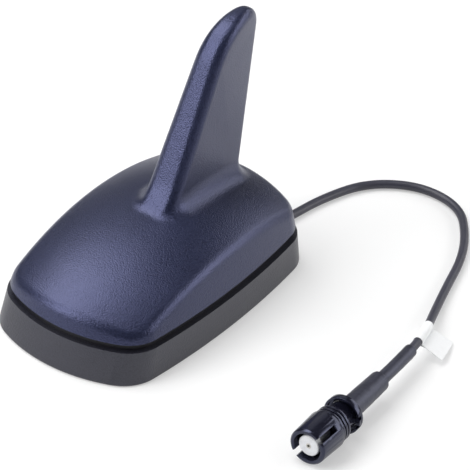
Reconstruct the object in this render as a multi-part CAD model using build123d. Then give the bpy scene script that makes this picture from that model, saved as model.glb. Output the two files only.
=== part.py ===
from build123d import *
import os
from math import pi, radians, sqrt, tan

# A roof aerial: a crowned cover with a hollow fin on a tray and a rubber skirt, with a lead and a plug.
# Millimetres and degrees. The nose points to -Y, +Z is up, and the skirt's foot stands on z = 0.

# Plan of the skirt's foot
BASE_LENGTH = 104.0
BASE_WIDTH = 60.4
NOSE_BOW = 8.5
TAIL_BOW = 6.0
SIDE_BOW = 3.2
NOSE_CORNER = 14.0
TAIL_CORNER = 13.0

# Skirt
SKIRT_HEIGHT = 11.0
SKIRT_LEAN_SIDE = 0.8
SKIRT_LEAN_NOSE = 2.5
SKIRT_LEAN_TAIL = 2.0
SKIRT_FOOT_ROUND = 0.8
GROOVE_HEIGHT = 2.4

# Cover
COVER_STEP = 0.8
COVER_WALL = 2.2
COVER_DRAFT = 14.0
CROWN_TOP = 31.0
CROWN_NOSE_DIP = 5.4
CROWN_TAIL_DIP = 0.9
CROWN_CROSS_RADIUS = 58.0
SHOULDER_RADIUS = 4.8

# Fin
FIN_TOP = 85.0
FIN_LENGTH = 40.4
FIN_TAIL_INSET = 12.4
FIN_RAKE = 25.0
FIN_TOE_RISE = 5.0
FIN_TOE_RAKE = 42.0
FIN_TOE_RADIUS = 28.0
FIN_TAIL_RAKE = 6.5
FIN_NOSE_WIDTH = 12.4
FIN_WEDGE = 3.0
FIN_DRAFT = 0.35
FIN_BROW_RADIUS = 20.0
FIN_PEAK_RADIUS = 7.5
FIN_TOP_FLAT = 0.5
FIN_EDGE_RADIUS = 3.2
FIN_ROOT_RADIUS = 6.6
FIN_WALL = 1.8

# Tray
RECESS_DEPTH = 5.5
PLATE_THICK = 2.5
PLATE_WALL = 1.8
PLATE_RIM_STEP = 1.2
LIP_HEIGHT = 1.4
RIB_THICK = 1.6
RIB_DEPTH = 2.4
SEAL_WIDTH = 1.2
SEAL_HEIGHT = 1.4
SLIP_FIT = 0.2
HUB_SIZE = 19.0
HUB_CORNER = 4.0
HUB_LIFT = 0.6
HUB_ROOF = 1.6

# Roof mount
INSERT_DIAMETER = 12.0
INSERT_LENGTH = 9.0
INSERT_GROOVE = 0.5
THREAD_RADIUS = 3.4
PRESS_FIT = 0.05
HUB_SEAL_WIDTH = 3.0
HUB_SEAL_HEIGHT = 5.0

# Screws that hold the cover down
SCREW_SIDE_INSET = 13.2
SCREW_NOSE_INSET = 22.0
SCREW_TAIL_INSET = 19.0
SCREW_DIAMETER = 2.6
SCREW_LENGTH = 9.0
SCREW_HEAD_DIAMETER = 5.0
SCREW_HEAD_HEIGHT = 1.8
BOSS_DIAMETER = 6.4

# Board and what is on it
BOARD_INSET = 7.6
BOARD_THICK = 1.6
BOARD_NOTCH_GAP = 0.6
POST_X = 14.0
POST_NOSE_GAP = 13.0
POST_TAIL_GAP = 6.2
POST_DIAMETER = 5.0
BOARD_SCREW_DIAMETER = 2.0
BOARD_SCREW_LENGTH = 4.4
BOARD_SCREW_HEAD = 3.8
BOARD_SCREW_HEAD_HEIGHT = 1.4
CAN_WIDTH = 20.0
CAN_LENGTH = 16.0
CAN_HEIGHT = 4.5
CAN_WALL = 0.4
CAN_NOSE_INSET = 23.0
CHIP_SIZE = 6.0
CHIP_HEIGHT = 1.0
CAPACITOR_LENGTH = 3.2
CAPACITOR_WIDTH = 1.6
CAPACITOR_HEIGHT = 1.4
CAPACITOR_PITCH = 4.0
CAPACITOR_COUNT = 5
CAPACITOR_SIDE_INSET = 17.2
CAPACITOR_Y = -4.0
COIL_RADIUS = 2.4
COIL_WIRE = 0.8
COIL_TURNS = 6
COIL_SIDE_INSET = 17.2
COIL_Y = 4.0
RADIATOR_THICK = 1.0
RADIATOR_GAP = 3.0
RADIATOR_TAB = 6.0
BRACKET_LEG = 4.0
BRACKET_WIDTH = 6.0
BRACKET_THICK = 0.5

# Lead, its boot and what is on it
CABLE_DIAMETER = 2.8
CABLE_REST = 0.05
CORE_DIAMETER = 1.5
BOOT_DIAMETER = 5.2
BOOT_NECK = 4.2
BOOT_FLANGE = 6.4
BOOT_FLANGE_THICK = 1.2
BOOT_LENGTH = 12.0
BOOT_MOUTH = 4.4
BOOT_SETBACK = 2.0
BOOT_CENTRE = 2.8
NOTCH_GAP = 0.6
GROUND_FERRULE_WALL = 0.8
CLEARANCE = 0.05
LABEL_THICK = 0.25
LABEL_LENGTH = 11.6
LABEL_FLAG = 8.4
LABEL_GAP = 5.2
LABEL_DROOP = 25.0
LABEL_FIT = 0.1
SMALL_SLEEVE_DIAMETER = 4.4
SMALL_SLEEVE_LENGTH = 23.5
LARGE_SLEEVE_DIAMETER = 7.5
LARGE_SLEEVE_LENGTH = 20.0
SLEEVE_SHRINK = 0.8
FERRULE_DIAMETER = 5.4
FERRULE_LENGTH = 16.0

# Plug, measured along its axis from the end of the cable's jacket
COLLAR_DIAMETER = 12.4
COLLAR_LENGTH = 2.2
COLLAR_WALL = 0.8
COLLAR_FLOOR = 1.0
COLLAR_GAP = 4.2
NECK_DIAMETER = 9.0
NECK_LENGTH = 6.6
RING_DIAMETER = 11.9
RING_GROOVE = 0.5
RING_PITCH = 1.4
RING_COUNT = 3
MOUTH_DIAMETER = 12.8
RIM_DIAMETER = 12.0
MOUTH_LENGTH = 10.8
MOUTH_BORE = 9.2
MOUTH_DEPTH = 10.0
RIM_CHAMFER = 0.5
SLOT_WIDTH = 2.0
SLOT_LENGTH = 8.4
SLOT_ANGLE = 45.0
INSULATOR_DIAMETER = 6.9
INSULATOR_RECESS = 0.9
CONTACT_DIAMETER = 1.7

# Levels and places worked out from the sizes above
nose_y = -BASE_LENGTH / 2
tail_y = BASE_LENGTH / 2
side_x = BASE_WIDTH / 2
fin_tail = tail_y - FIN_TAIL_INSET
fin_nose = fin_tail - FIN_LENGTH
screw_x = side_x - SCREW_SIDE_INSET
screw_nose = nose_y + SCREW_NOSE_INSET
screw_tail = tail_y - SCREW_TAIL_INSET
can_y = nose_y + CAN_NOSE_INSET
cover_foot = SKIRT_HEIGHT + GROOVE_HEIGHT
plate_top = RECESS_DEPTH + PLATE_THICK
board_bottom = HUB_LIFT + INSERT_LENGTH + HUB_ROOF
board_top = board_bottom + BOARD_THICK
cable_radius = CABLE_DIAMETER / 2
floor_z = cable_radius + CABLE_REST
plug_z = MOUTH_DIAMETER / 2
seal_inset = COVER_WALL + SEAL_HEIGHT * tan(radians(COVER_DRAFT)) + SLIP_FIT
tub_inset = seal_inset + SEAL_WIDTH + SLIP_FIT
mouth_start = NECK_LENGTH + RING_COUNT * RING_PITCH
rim = mouth_start + MOUTH_LENGTH
bore_floor = rim - MOUTH_DEPTH

# The lead's route, from the boot under the tray, out behind the tail and round to the plug
ROUTE = [
    (8.2, 25.0, BOOT_CENTRE),
    (9.3, 40.0, BOOT_CENTRE),
    (11.2, 58.0, floor_z),
    (13.6, 75.0, floor_z),
    (19.6, 91.5, floor_z),
    (33.5, 101.5, floor_z),
    (49.5, 100.0, floor_z),
    (59.5, 87.5, floor_z),
    (65.4, 75.5, floor_z),
    (69.3, 62.0, floor_z),
    (74.4, 46.5, 2.0),
    (81.2, 29.5, 5.9),
    (83.7, 10.0, plug_z),
    (84.84, -18.5, plug_z),
]
ARC_SHARE = 0.45


def plan(side_in, nose_in, tail_in, inset):
    """The base's outline seen from above, drawn in from the skirt's foot at its sides, nose and tail,
    and then by an even inset."""
    half = side_x - side_in
    nose = nose_y + nose_in
    tail = tail_y - tail_in
    middle = (nose + tail) / 2
    corner_x = half - SIDE_BOW
    front_y = nose + NOSE_BOW
    rear_y = tail - TAIL_BOW
    edges = [
        ThreePointArc((-corner_x, front_y), (0, nose), (corner_x, front_y)),
        ThreePointArc((corner_x, front_y), (half, middle), (corner_x, rear_y)),
        ThreePointArc((corner_x, rear_y), (0, tail), (-corner_x, rear_y)),
        ThreePointArc((-corner_x, rear_y), (-half, middle), (-corner_x, front_y)),
    ]
    face = offset(make_face(edges), amount=-inset) if inset else make_face(edges)
    face = fillet(face.vertices().sort_by(Axis.Y)[:2], NOSE_CORNER - side_in - inset)
    return fillet(face.vertices().sort_by(Axis.Y)[-2:], TAIL_CORNER - side_in - inset)


def skirt_top_plan(inset):
    return plan(SKIRT_LEAN_SIDE, SKIRT_LEAN_NOSE, SKIRT_LEAN_TAIL, inset)


def cover_plan(inset):
    """The cover's foot, drawn in by an even inset."""
    return skirt_top_plan(COVER_STEP + inset)


def prism(face, low, high):
    return extrude(Pos(0, 0, low) * face, amount=high - low)


def turned(points):
    """A turned piece along X, from points of distance and radius."""
    return revolve(make_face(Polyline(*points, close=True)), axis=Axis.X)


# Cover

def crown(inset):
    """Everything under the crowned top: the ridge's arc turned about an axis below it. Its dips are how
    far it would pass below the cover's foot at square corners, so the wall keeps its height at any width."""
    top = CROWN_TOP - inset
    axis_z = CROWN_TOP - CROWN_CROSS_RADIUS
    side_drop = CROWN_CROSS_RADIUS - sqrt(CROWN_CROSS_RADIUS ** 2 - side_x ** 2)
    nose_z = cover_foot + side_drop - CROWN_NOSE_DIP - inset
    tail_z = cover_foot + side_drop - CROWN_TAIL_DIP - inset
    ridge = ThreePointArc((nose_y, nose_z), (0, top), (tail_y, tail_z))
    sides = Polyline(ridge @ 1, (tail_y, axis_z), (nose_y, axis_z), ridge @ 0)
    face = Plane.YZ * make_face([ridge, sides])
    axis = Axis((0, 0, axis_z), (0, 1, 0))
    swing = 60.0
    return revolve(face.rotate(axis, -swing), axis=axis, revolution_arc=2 * swing)


def dome(inset):
    """The dome before its shoulder is rounded."""
    wall_top = CROWN_TOP + SHOULDER_RADIUS
    draft = (wall_top - cover_foot) * tan(radians(COVER_DRAFT))
    foot = Pos(0, 0, cover_foot) * cover_plan(inset)
    top = Pos(0, 0, wall_top) * cover_plan(inset + draft)
    return loft([foot, top], ruled=True) & crown(inset)


def fin_profile(inset, foot):
    """The fin seen from the side, from a foot level upwards, drawn in by an inset. Its leading edge runs
    out into a toe, and the two rounds of its top leave a flat between them."""

    def lead(z):
        return fin_nose + (z - CROWN_TOP) * tan(radians(FIN_RAKE))

    def trail(z):
        return fin_tail + (z - CROWN_TOP) * tan(radians(FIN_TAIL_RAKE))

    bend_z = CROWN_TOP + FIN_TOE_RISE
    toe = lead(bend_z) - (bend_z - foot) * tan(radians(FIN_TOE_RAKE))
    front = [(toe, foot), (lead(bend_z), bend_z), (lead(FIN_TOP), FIN_TOP)]
    face = make_face(Polyline(*front, (trail(FIN_TOP), FIN_TOP), (trail(foot), foot), close=True))
    face = fillet(face.vertices().sort_by(Axis.X)[1], FIN_TOE_RADIUS)
    peak_run = FIN_PEAK_RADIUS / tan(radians(90 - FIN_TAIL_RAKE) / 2)
    brow_run = trail(FIN_TOP) - lead(FIN_TOP) - peak_run - FIN_TOP_FLAT
    brow = face.vertices().sort_by(Axis.Y)[-2:].sort_by(Axis.X)[0]
    face = fillet(brow, min(FIN_BROW_RADIUS, brow_run * tan(radians(90 + FIN_RAKE) / 2)))
    peak = face.vertices().sort_by(Axis.X)[-1]
    face = fillet(peak, FIN_PEAK_RADIUS)
    return offset(face, amount=-inset) if inset else face


def half_fin(y, z):
    """Half the fin's width between its flat sides."""
    narrowing = (y - fin_nose) * tan(radians(FIN_WEDGE)) + (z - CROWN_TOP) * tan(radians(FIN_DRAFT))
    return FIN_NOSE_WIDTH / 2 - narrowing


def fin_wedge(inset):
    """The space between the fin's two flat sides."""
    front = half_fin(nose_y, cover_foot) - inset
    rear = half_fin(tail_y, cover_foot) - inset
    corners = [(-front, nose_y), (front, nose_y), (rear, tail_y), (-rear, tail_y)]
    face = make_face(Polyline(*corners, close=True))
    return extrude(Pos(0, 0, cover_foot) * face, amount=FIN_TOP, taper=FIN_DRAFT)


def fin(inset):
    blank = Plane.YZ * fin_profile(inset, cover_foot + FIN_WALL)
    return extrude(blank, amount=FIN_NOSE_WIDTH, both=True) & fin_wedge(inset)


def rounded_fin():
    """The fin with its edges rounded, by no more than leaves a flat on its thin trailing edge."""
    body = fin(0)
    box = body.bounding_box()
    radius = min(FIN_EDGE_RADIUS, half_fin(box.max.Y, box.max.Z) - FIN_TOP_FLAT / 4)
    sides = body.faces().sort_by(Axis.X)
    edges = ShapeList(sides[0].edges() + sides[-1].edges())
    return fillet(edges.filter_by(lambda e: e.center().Z > box.min.Z + radius), radius)


def crown_face(cover):
    """The cover's top face, which the fin stands in as an island."""
    return cover.faces().filter_by(lambda f: len(f.inner_wires()) == 1).sort_by(Axis.Z)[-1]


def screw_places():
    return [Pos(side * screw_x, y, 0) for side in (-1, 1) for y in (screw_nose, screw_tail)]


def post_places():
    rows = (screw_nose + POST_NOSE_GAP, screw_tail - POST_TAIL_GAP)
    return [Pos(side * POST_X, y, 0) for side in (-1, 1) for y in rows]


def rod(radius, low, high):
    return extrude(Pos(0, 0, low) * Circle(radius), amount=high - low)


def make_fin_cover():
    outer = dome(0) + rounded_fin()
    outer = fillet(crown_face(outer).inner_wires()[0].edges(), FIN_ROOT_RADIUS)
    outer = fillet(crown_face(outer).outer_wire().edges(), SHOULDER_RADIUS)
    hollow = dome(COVER_WALL)
    hollow = fillet(hollow.faces().sort_by(Axis.Z)[-1].edges(), SHOULDER_RADIUS - COVER_WALL)
    shell = outer - hollow - fin(FIN_WALL)
    post = rod(BOSS_DIAMETER / 2, cover_foot, CROWN_TOP)
    foot = rod(BOSS_DIAMETER / 2, plate_top, cover_foot)
    pilot = rod(SCREW_DIAMETER / 2 + PRESS_FIT, plate_top, RECESS_DEPTH + SCREW_LENGTH + SLIP_FIT)
    for place in screw_places():
        shell += place * post & hollow
        shell += place * foot
    for place in screw_places():
        shell -= place * pilot
    return shell


# Skirt, tray and seals

def notch():
    """The way out for the lead under the skirt's tail."""
    start, end = Vector(*ROUTE[1]), Vector(*ROUTE[2])
    along = Vector(end.X - start.X, end.Y - start.Y, 0)
    half = cable_radius + NOTCH_GAP
    arch = Pos(0, BOOT_CENTRE) * Circle(half) + Pos(0, BOOT_CENTRE / 2) * Rectangle(2 * half, BOOT_CENTRE)
    frame = Plane(origin=(start.X, start.Y, 0), x_dir=Vector(0, 0, 1).cross(along), z_dir=along)
    return extrude(frame * arch, amount=tail_y)


def make_base_gasket():
    body = loft([plan(0, 0, 0, 0), Pos(0, 0, SKIRT_HEIGHT) * skirt_top_plan(0)], ruled=True)
    body = fillet(body.faces().sort_by(Axis.Z)[0].edges(), SKIRT_FOOT_ROUND)
    return body - prism(cover_plan(tub_inset - SLIP_FIT), 0, SKIRT_HEIGHT) - notch()


def hub_plan(growth):
    size = HUB_SIZE + 2 * growth
    return RectangleRounded(size, size, HUB_CORNER + growth)


def hub_seal_reach():
    return SLIP_FIT + HUB_SEAL_WIDTH


def ribs():
    """Stiffening ribs under the tray, from the hub's seal to the wall."""
    low = RECESS_DEPTH - RIB_DEPTH
    cross = Rectangle(BASE_WIDTH, RIB_THICK) + Rectangle(RIB_THICK, BASE_LENGTH)
    within = prism(cross, low, RECESS_DEPTH) & prism(cover_plan(tub_inset), low, RECESS_DEPTH)
    return within - prism(hub_plan(hub_seal_reach() + SLIP_FIT), low, RECESS_DEPTH)


def boot_frame():
    """A frame on the floor under the boot, with X along the lead's first run."""
    start, end = Vector(*ROUTE[0]), Vector(*ROUTE[1])
    along = (end - start).normalized()
    origin = start - along * BOOT_SETBACK
    return Plane(origin=(origin.X, origin.Y, 0), x_dir=along, z_dir=(0, 0, 1)).location


def make_base_plate():
    plate = prism(cover_plan(tub_inset), RECESS_DEPTH, cover_foot + LIP_HEIGHT)
    plate += prism(cover_plan(PLATE_RIM_STEP), SKIRT_HEIGHT, cover_foot)
    plate -= prism(cover_plan(tub_inset + PLATE_WALL), plate_top, cover_foot + LIP_HEIGHT)
    plate += ribs()
    plate += prism(hub_plan(0), HUB_LIFT, board_bottom)
    plate -= rod(INSERT_DIAMETER / 2 + PRESS_FIT, HUB_LIFT, HUB_LIFT + INSERT_LENGTH)
    for place in post_places():
        plate += place * rod(POST_DIAMETER / 2, plate_top, board_bottom)
    grip = board_top - BOARD_SCREW_LENGTH - SLIP_FIT
    for place in post_places():
        plate -= place * rod(BOARD_SCREW_DIAMETER / 2 + PRESS_FIT, grip, board_bottom)
    for place in screw_places():
        plate -= place * rod(SCREW_DIAMETER / 2 + SLIP_FIT, RECESS_DEPTH, plate_top)
    return plate - boot_frame() * rod(BOOT_NECK / 2 + PRESS_FIT, RECESS_DEPTH, plate_top)


def make_cover_seal():
    top = cover_foot + SEAL_HEIGHT
    hole = prism(cover_plan(seal_inset + SEAL_WIDTH), cover_foot, top)
    return prism(cover_plan(seal_inset), cover_foot, top) - hole


def make_hub_seal():
    low = RECESS_DEPTH - HUB_SEAL_HEIGHT
    return prism(hub_plan(hub_seal_reach()), low, RECESS_DEPTH) - prism(hub_plan(SLIP_FIT), low, RECESS_DEPTH)


def make_mount_insert():
    radius = INSERT_DIAMETER / 2
    top = HUB_LIFT + INSERT_LENGTH
    insert = rod(radius, HUB_LIFT, top)
    for share in (1 / 3, 2 / 3):
        middle = HUB_LIFT + share * INSERT_LENGTH
        ring = rod(radius, middle - INSERT_GROOVE, middle + INSERT_GROOVE)
        insert -= ring - rod(radius - INSERT_GROOVE, middle - INSERT_GROOVE, middle + INSERT_GROOVE)
    return insert - rod(THREAD_RADIUS, HUB_LIFT, top)


def screw(diameter, length, head, head_height):
    """A pan-head screw, pointing up, with its head's seat on z = 0."""
    cap = rod(head / 2, -head_height, 0)
    cap = fillet(cap.edges().sort_by(Axis.Z)[0], head_height / 2)
    return cap + rod(diameter / 2, 0, length)


def make_cover_screws():
    one = screw(SCREW_DIAMETER, SCREW_LENGTH, SCREW_HEAD_DIAMETER, SCREW_HEAD_HEIGHT)
    return Compound([(place * Pos(0, 0, RECESS_DEPTH) * one).solid() for place in screw_places()])


# Board and what is on it

def radiator_face():
    """The upright board's outline, clear of the fin's walls, standing on the main board."""
    inset = FIN_WALL + RADIATOR_GAP
    return fin_profile(inset, board_top - inset)


def radiator_tabs():
    """Where the upright board's tabs pass through the main board: each tab's middle along Y."""
    foot = radiator_face().edges().sort_by(Axis.Y)[0].bounding_box()
    span = foot.max.X - foot.min.X
    return [foot.min.X + share * span for share in (0.25, 0.75)]


def tab(y, gap):
    return Pos(0, y, board_bottom + BOARD_THICK / 2) * Box(
        RADIATOR_THICK + 2 * gap, RADIATOR_TAB + 2 * gap, BOARD_THICK)


def make_main_board():
    board = prism(cover_plan(BOARD_INSET), board_bottom, board_top)
    for place in screw_places():
        board -= place * rod(BOSS_DIAMETER / 2 + BOARD_NOTCH_GAP, board_bottom, board_top)
    for place in post_places():
        board -= place * rod(BOARD_SCREW_DIAMETER / 2 + CLEARANCE, board_bottom, board_top)
    for y in radiator_tabs():
        board -= tab(y, CLEARANCE)
    return board - boot_frame() * rod(CORE_DIAMETER / 2 + CLEARANCE, board_bottom, board_top)


def make_board_screws():
    one = screw(BOARD_SCREW_DIAMETER, BOARD_SCREW_LENGTH, BOARD_SCREW_HEAD, BOARD_SCREW_HEAD_HEIGHT)
    turned_over = Pos(0, 0, board_top) * Rot(180, 0, 0)
    return Compound([(place * turned_over * one).solid() for place in post_places()])


def make_shield_can():
    inner_height = CAN_HEIGHT - CAN_WALL
    can = Box(CAN_WIDTH, CAN_LENGTH, CAN_HEIGHT, align=(Align.CENTER, Align.CENTER, Align.MIN))
    can -= Box(CAN_WIDTH - 2 * CAN_WALL, CAN_LENGTH - 2 * CAN_WALL, inner_height,
               align=(Align.CENTER, Align.CENTER, Align.MIN))
    return Pos(0, can_y, board_top) * can


def make_amplifier_chip():
    return Pos(0, can_y, board_top) * Box(
        CHIP_SIZE, CHIP_SIZE, CHIP_HEIGHT, align=(Align.CENTER, Align.CENTER, Align.MIN))


def make_board_capacitors():
    one = Box(CAPACITOR_LENGTH, CAPACITOR_WIDTH, CAPACITOR_HEIGHT,
              align=(Align.CENTER, Align.CENTER, Align.MIN))
    x = side_x - CAPACITOR_SIDE_INSET
    row = [Pos(x, CAPACITOR_Y + i * CAPACITOR_PITCH, board_top) for i in range(CAPACITOR_COUNT)]
    return Compound([(place * one).solid() for place in row])


def make_matching_coil():
    """A close-wound coil lying on the board: its turns touch, so they are one corrugated tube."""
    wire = COIL_WIRE / 2
    crest = COIL_RADIUS + wire
    bore = COIL_RADIUS - wire
    outline = [(0, bore), (0, COIL_RADIUS)]
    for turn in range(COIL_TURNS):
        start = turn * COIL_WIRE
        outline += [(start + wire / 2, crest), (start + 3 * wire / 2, crest), (start + 2 * wire, COIL_RADIUS)]
    outline.append((COIL_TURNS * COIL_WIRE, bore))
    return Pos(COIL_SIDE_INSET - side_x, COIL_Y, board_top + crest) * Rot(0, 0, 90) * turned(outline)


def make_fin_radiator():
    board = extrude(Plane.YZ * radiator_face(), amount=RADIATOR_THICK / 2, both=True)
    for y in radiator_tabs():
        board += tab(y, 0)
    return board


def make_radiator_brackets():
    middle = sum(radiator_tabs()) / 2
    reach = RADIATOR_THICK / 2
    profile = make_face(Polyline(
        (0, 0), (BRACKET_LEG, 0), (BRACKET_LEG, BRACKET_THICK), (BRACKET_THICK, BRACKET_THICK),
        (BRACKET_THICK, BRACKET_LEG), (0, BRACKET_LEG), close=True))
    angle = extrude(Plane.XZ * profile, amount=BRACKET_WIDTH / 2, both=True)
    angle = Pos(reach, middle, board_top) * angle
    return Compound([angle.solid(), mirror(angle, about=Plane.YZ).solid()])


# Boot and lead

def make_cable_boot():
    body = rod(BOOT_DIAMETER / 2, BOOT_CENTRE - BOOT_DIAMETER / 2, RECESS_DEPTH)
    body += rod(BOOT_NECK / 2, RECESS_DEPTH, plate_top)
    body += rod(BOOT_FLANGE / 2, plate_top, plate_top + BOOT_FLANGE_THICK)
    root = BOOT_DIAMETER / 2 - PRESS_FIT
    nozzle = turned([(0, 0), (0, root), (BOOT_LENGTH, BOOT_MOUTH / 2), (BOOT_LENGTH, 0)])
    body += Pos(0, 0, BOOT_CENTRE) * nozzle
    socket = cable_radius + CLEARANCE
    passage = CORE_DIAMETER / 2 + CLEARANCE
    bore = turned([
        (0, 0), (0, passage), (BOOT_SETBACK, passage), (BOOT_SETBACK, socket), (BOOT_LENGTH, socket),
        (BOOT_LENGTH, 0)])
    body -= Pos(0, 0, BOOT_CENTRE) * bore
    body -= rod(passage, BOOT_CENTRE, plate_top + BOOT_FLANGE_THICK)
    return boot_frame() * body


def make_coax_core():
    """The stripped end of the lead: along from the jacket, then up through the board."""
    radius = CORE_DIAMETER / 2
    along = turned([(0, 0), (0, radius), (BOOT_SETBACK, radius), (BOOT_SETBACK, 0)])
    core = Pos(0, 0, BOOT_CENTRE) * along + rod(radius, BOOT_CENTRE, board_top + CORE_DIAMETER)
    return boot_frame() * core


def make_ground_ferrule():
    radius = CORE_DIAMETER / 2 + CLEARANCE
    low = plate_top + BOOT_FLANGE_THICK
    tube = rod(radius + GROUND_FERRULE_WALL, low, board_bottom) - rod(radius, low, board_bottom)
    return boot_frame() * tube


def route_radii():
    """Each corner's radius: as large as its two runs allow."""
    points = [Vector(*point) for point in ROUTE]
    runs = [end - start for start, end in zip(points, points[1:])]
    radii = []
    for before, after in zip(runs, runs[1:]):
        half_turn = radians(before.get_angle(after)) / 2
        radii.append(ARC_SHARE * min(before.length, after.length) / tan(half_turn))
    return radii


def lead_line():
    return FilletPolyline(*ROUTE, radius=route_radii())


def round_along(line, radius):
    start = Plane(origin=line @ 0, z_dir=line % 0)
    return sweep(start * Circle(radius), path=line)


def stretch(rear, front):
    """The lead's line between two distances, measured back from the end of its jacket."""
    line = lead_line()
    passed = rear - line.length
    pieces = []
    for edge in line.edges():
        low = max(-passed, 0) / edge.length
        high = min(rear - front - passed, edge.length) / edge.length
        if low < high:
            pieces.append(edge.trim(low, high))
        passed += edge.length
    return Wire(pieces)


def make_coax_cable():
    line = lead_line()
    tube = round_along(line, cable_radius)
    straight = pi * cable_radius ** 2 * line.length
    print("lead radii", [round(radius, 1) for radius in route_radii()])
    print("lead length", round(line.length, 2), "volume share", round(tube.volume / straight, 5))
    return tube


def make_flag_label():
    """A strip wrapped round the lead, with its two ends stuck together as a flag."""
    front = FERRULE_LENGTH + SMALL_SLEEVE_LENGTH + LABEL_GAP
    line = stretch(front + LABEL_LENGTH, front)
    bore = cable_radius + LABEL_FIT
    along = line % 0.5
    frame = Plane(origin=line @ 0.5, x_dir=along, z_dir=along.cross(Vector(0, 0, 1)).cross(along))
    flag = Rot(-LABEL_DROOP, 0, 0) * Pos(0, LABEL_FLAG / 2, 0) * Box(
        LABEL_LENGTH - 2 * LABEL_FIT, LABEL_FLAG, LABEL_THICK)
    wrap = round_along(line, bore + LABEL_THICK) + frame.location * flag
    return wrap - round_along(line, bore)


def plug_frame():
    """A frame at the end of the lead's jacket, with X along the plug's axis, towards its mouth."""
    start, end = Vector(*ROUTE[-2]), Vector(*ROUTE[-1])
    return Plane(origin=end, x_dir=end - start, z_dir=(0, 0, 1)).location


def make_small_sleeve():
    line = stretch(FERRULE_LENGTH + SMALL_SLEEVE_LENGTH, FERRULE_LENGTH)
    return round_along(line, SMALL_SLEEVE_DIAMETER / 2) - round_along(line, cable_radius + CLEARANCE)


def make_large_sleeve():
    outer = LARGE_SLEEVE_DIAMETER / 2
    over_ferrule = FERRULE_DIAMETER / 2 + CLEARANCE
    over_sleeve = SMALL_SLEEVE_DIAMETER / 2 + CLEARANCE
    rear = -LARGE_SLEEVE_LENGTH
    step = -FERRULE_LENGTH
    return plug_frame() * turned([
        (rear, over_sleeve), (rear, outer - SLEEVE_SHRINK), (rear + SLEEVE_SHRINK, outer), (0, outer),
        (0, over_ferrule), (step, over_ferrule), (step, over_sleeve)])


def make_crimp_ferrule():
    inner = cable_radius + CLEARANCE
    outer = FERRULE_DIAMETER / 2
    return plug_frame() * turned([(-FERRULE_LENGTH, inner), (-FERRULE_LENGTH, outer), (0, outer), (0, inner)])


# Plug

def tail_radius():
    return CONTACT_DIAMETER + CLEARANCE


def make_plug_shell():
    neck = NECK_DIAMETER / 2
    ring = RING_DIAMETER / 2
    outline = [(0, tail_radius() + CLEARANCE), (0, neck), (NECK_LENGTH, neck)]
    for i in range(RING_COUNT):
        start = NECK_LENGTH + i * RING_PITCH
        end = start + RING_PITCH
        outline += [(start, ring), (end - RING_GROOVE, ring)]
        outline += [(end - RING_GROOVE, ring - RING_GROOVE), (end, ring - RING_GROOVE)]
    outline += [
        (mouth_start, MOUTH_DIAMETER / 2), (rim - RIM_CHAMFER, RIM_DIAMETER / 2),
        (rim, RIM_DIAMETER / 2 - RIM_CHAMFER), (rim, MOUTH_BORE / 2), (bore_floor, MOUTH_BORE / 2),
        (bore_floor, tail_radius() + CLEARANCE)]
    shell = turned(outline)
    slot = Box(2 * SLOT_LENGTH, SLOT_WIDTH, 2 * MOUTH_DIAMETER)
    shell -= Pos(rim, 0, 0) * Rot(SLOT_ANGLE - 90, 0, 0) * slot
    key_height = COLLAR_DIAMETER / 2 - neck
    key = Pos((COLLAR_FLOOR + COLLAR_LENGTH) / 2, neck + key_height / 2, 0) * Box(
        COLLAR_LENGTH - COLLAR_FLOOR - 2 * SLIP_FIT, key_height + CLEARANCE, COLLAR_GAP / 2)
    return plug_frame() * (shell + Pos(0, -CLEARANCE / 2, 0) * key)


def make_plug_collar():
    outer = COLLAR_DIAMETER / 2
    inner = outer - COLLAR_WALL
    hole = NECK_DIAMETER / 2 + CLEARANCE
    cup = turned([
        (0, hole), (0, outer), (COLLAR_LENGTH, outer), (COLLAR_LENGTH, inner), (COLLAR_FLOOR, inner),
        (COLLAR_FLOOR, hole)])
    gap = Pos(COLLAR_FLOOR, outer, 0) * Box(
        COLLAR_LENGTH, COLLAR_DIAMETER / 2, COLLAR_GAP, align=(Align.MIN, Align.CENTER, Align.CENTER))
    return plug_frame() * (cup - gap)


def make_plug_insulator():
    front = rim - INSULATOR_RECESS
    hole = CONTACT_DIAMETER / 2 + CLEARANCE
    return plug_frame() * turned([
        (0, hole), (0, tail_radius()), (bore_floor, tail_radius()), (bore_floor, INSULATOR_DIAMETER / 2),
        (front, INSULATOR_DIAMETER / 2), (front, hole)])


def make_plug_contact():
    outer = CONTACT_DIAMETER / 2
    front = rim - INSULATOR_RECESS
    return plug_frame() * turned([
        (0, 0), (0, outer), (front, outer), (front, outer / 2), (bore_floor, outer / 2), (bore_floor, 0)])


PIECES = {
    "fin_cover": make_fin_cover,
    "base_gasket": make_base_gasket,
    "base_plate": make_base_plate,
    "cover_seal": make_cover_seal,
    "hub_seal": make_hub_seal,
    "mount_insert": make_mount_insert,
    "cover_screws": make_cover_screws,
    "main_board": make_main_board,
    "board_screws": make_board_screws,
    "shield_can": make_shield_can,
    "amplifier_chip": make_amplifier_chip,
    "board_capacitors": make_board_capacitors,
    "matching_coil": make_matching_coil,
    "fin_radiator": make_fin_radiator,
    "radiator_brackets": make_radiator_brackets,
    "coax_core": make_coax_core,
    "ground_ferrule": make_ground_ferrule,
    "cable_boot": make_cable_boot,
    "coax_cable": make_coax_cable,
    "flag_label": make_flag_label,
    "small_sleeve": make_small_sleeve,
    "large_sleeve": make_large_sleeve,
    "crimp_ferrule": make_crimp_ferrule,
    "plug_shell": make_plug_shell,
    "plug_collar": make_plug_collar,
    "plug_insulator": make_plug_insulator,
    "plug_contact": make_plug_contact,
}

if __name__ == "__main__":
    os.makedirs("parts", exist_ok=True)
    for name, make in PIECES.items():
        export_step(make(), f"parts/{name}.step")
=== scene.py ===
from math import atan2, cos, pi, radians, sin

import bmesh
import bpy
from bpy.props import FloatProperty, FloatVectorProperty, PointerProperty
from mathutils import Matrix, Vector, noise


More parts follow.
